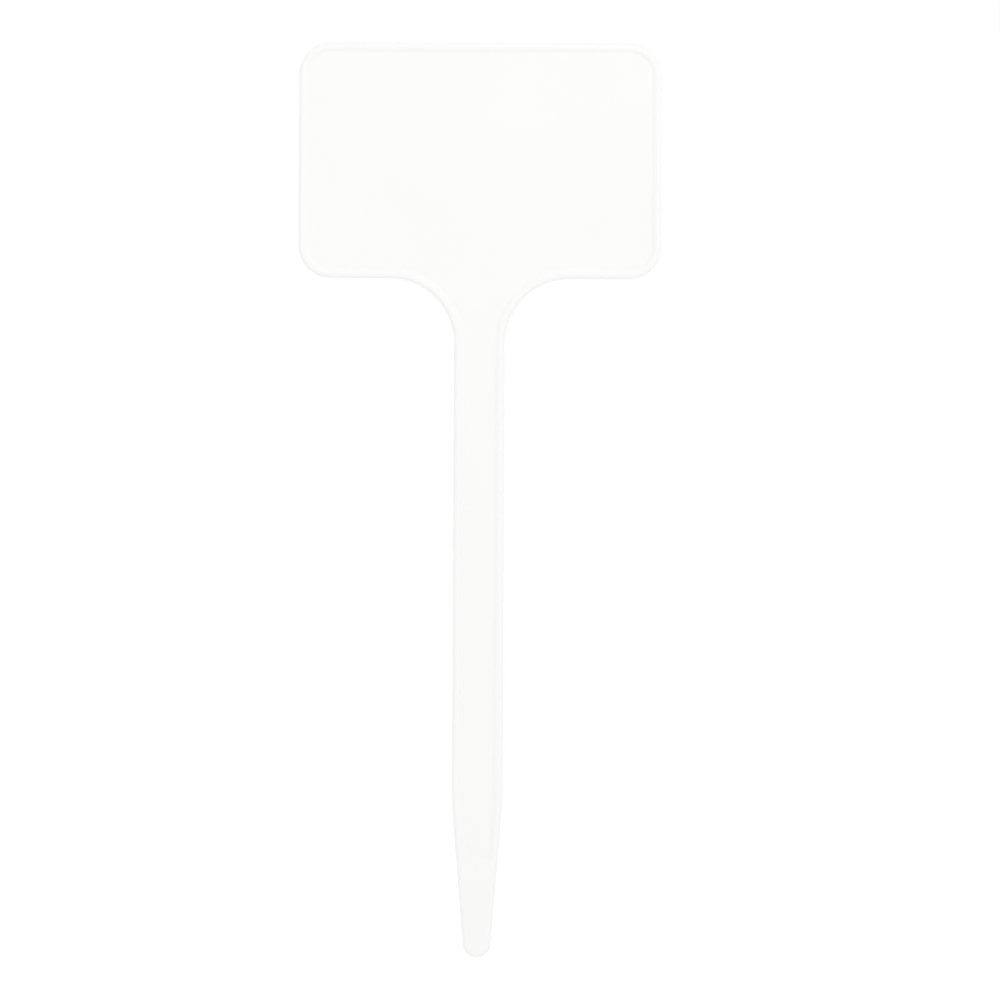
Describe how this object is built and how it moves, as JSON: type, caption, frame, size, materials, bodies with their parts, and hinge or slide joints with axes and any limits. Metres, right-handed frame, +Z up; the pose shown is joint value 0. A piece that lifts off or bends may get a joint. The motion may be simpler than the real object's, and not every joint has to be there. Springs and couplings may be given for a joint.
{
  "type": "plant label stake",
  "caption": "White plastic T-shaped plant label: a blank rimmed writing panel on a long flat stem that tapers to a rounded point, pushed into soil to mark a plant.",
  "frame": {"origin": "lowest point of the tip, on the centre line at mid-thickness, where the stake goes into the ground", "axes": "+Z up the stem towards the head, +X to the right seen from the front, and the front writing face looks along -Y"},
  "size_m": [0.0992, 0.0024, 0.25],
  "materials": {
    "writing_surface": "white plastic with the fine even matte texture that takes a pen",
    "moulded_edge": "white plastic, smoother and slightly satin"
  },
  "bodies": {
    "root": {"writing_panel": "writing_surface", "head_rim": "moulded_edge", "stem_web": "writing_surface", "stem_rib_left": "moulded_edge", "stem_rib_right": "moulded_edge", "ground_point": "moulded_edge"}
  },
  "joints": []
}
